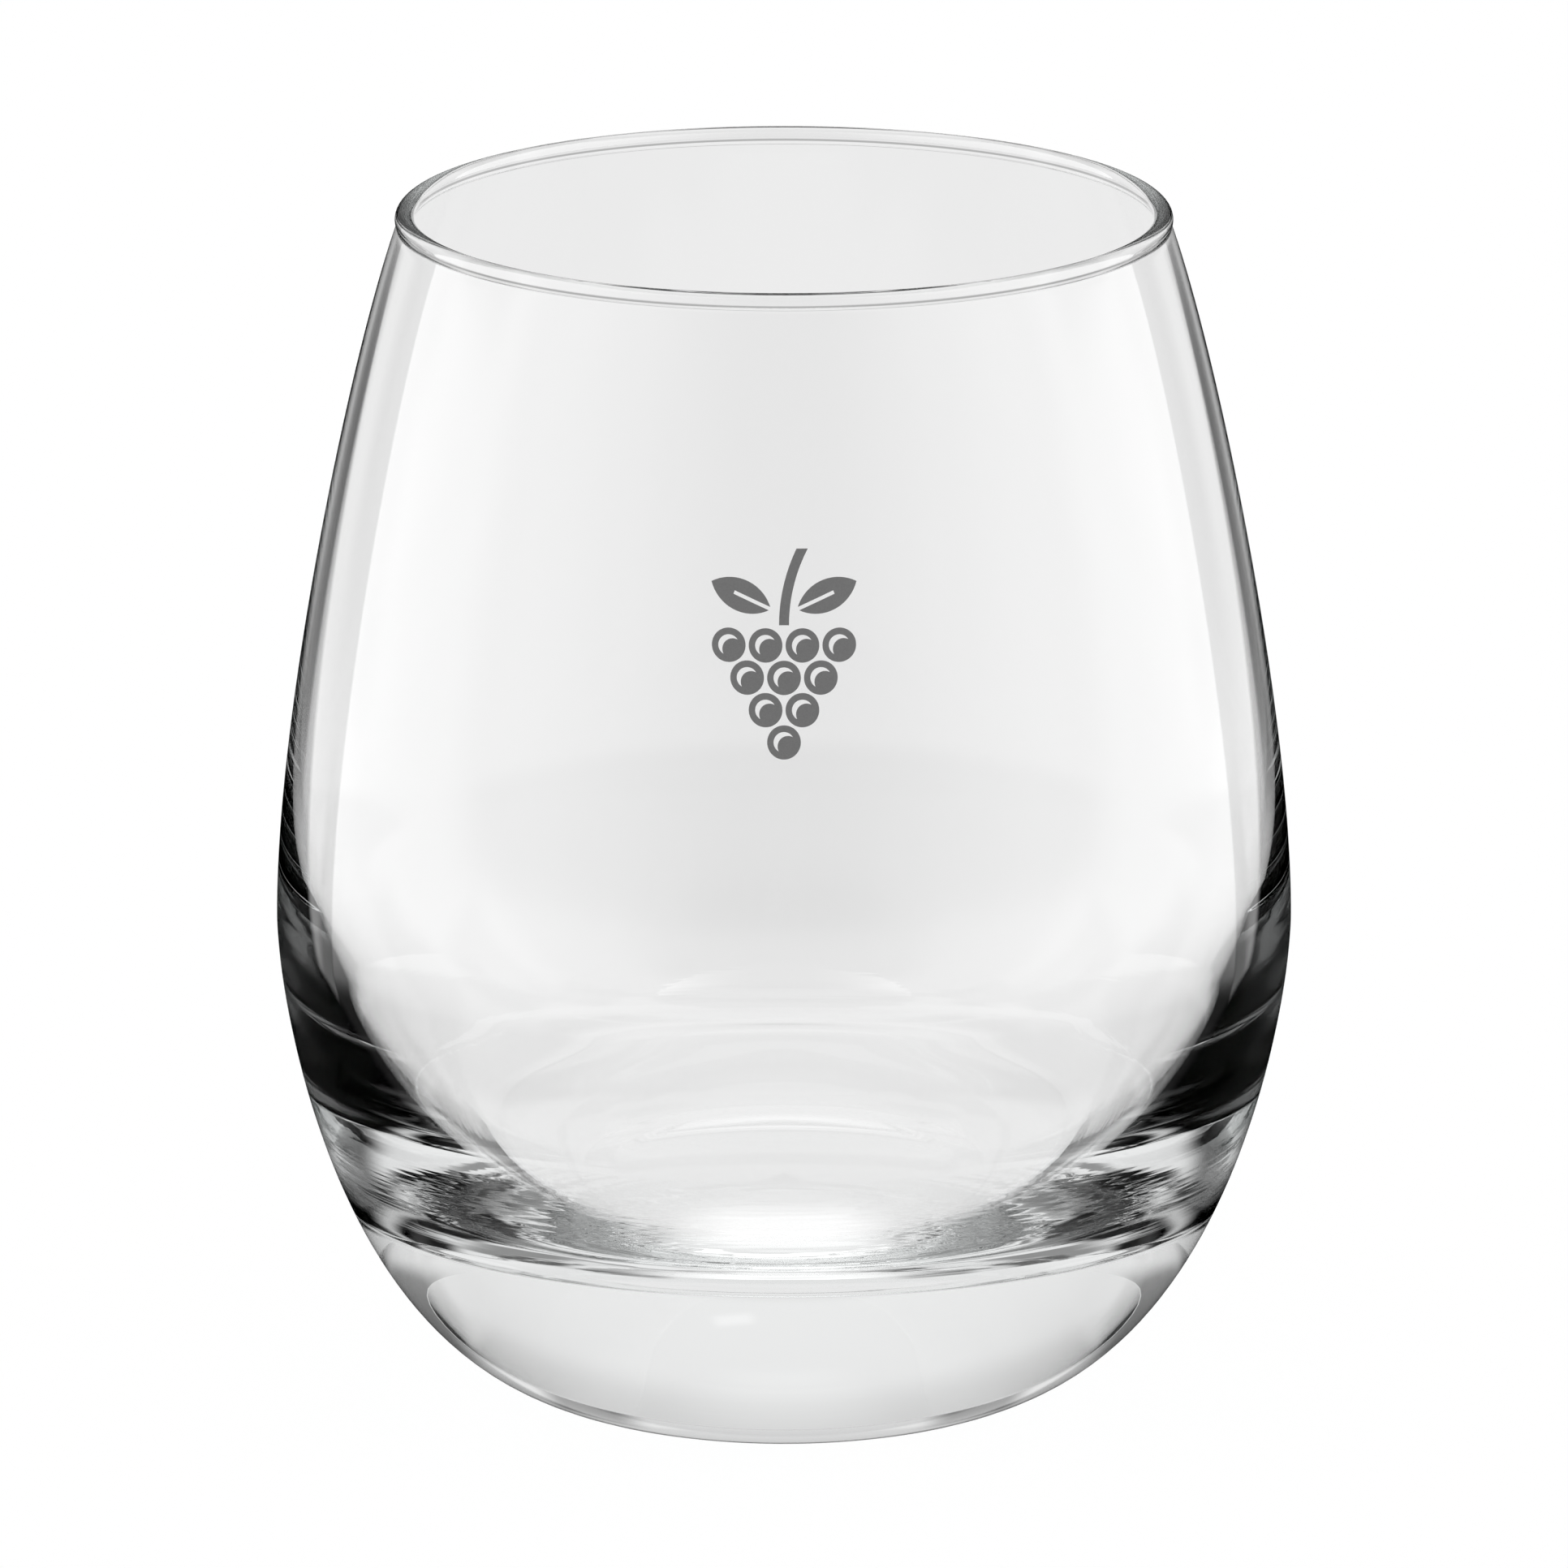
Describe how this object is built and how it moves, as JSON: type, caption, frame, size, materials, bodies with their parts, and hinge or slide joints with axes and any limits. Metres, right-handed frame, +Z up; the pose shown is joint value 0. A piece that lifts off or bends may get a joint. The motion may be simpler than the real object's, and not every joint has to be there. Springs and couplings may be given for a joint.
{
  "type": "stemless wine glass",
  "caption": "Egg-shaped stemless wine glass with a narrow mouth, rounded lip, thin wall, heavy clear base and a small grey grape print on the front.",
  "frame": {"origin": "centre of the foot ring, on the surface that the glass stands on", "axes": "+Z up along the glass's axis of revolution, -Y towards the printed front, +X to the right of someone who faces the print"},
  "size_m": [0.084, 0.084, 0.1],
  "materials": {
    "glass": "clear fire-polished soda-lime glass",
    "ink": "satin fired ceramic ink"
  },
  "bodies": {
    "root": {"glass_body": "glass", "print_grapes": "ink", "print_leaves": "ink", "print_stem": "ink"}
  },
  "joints": []
}
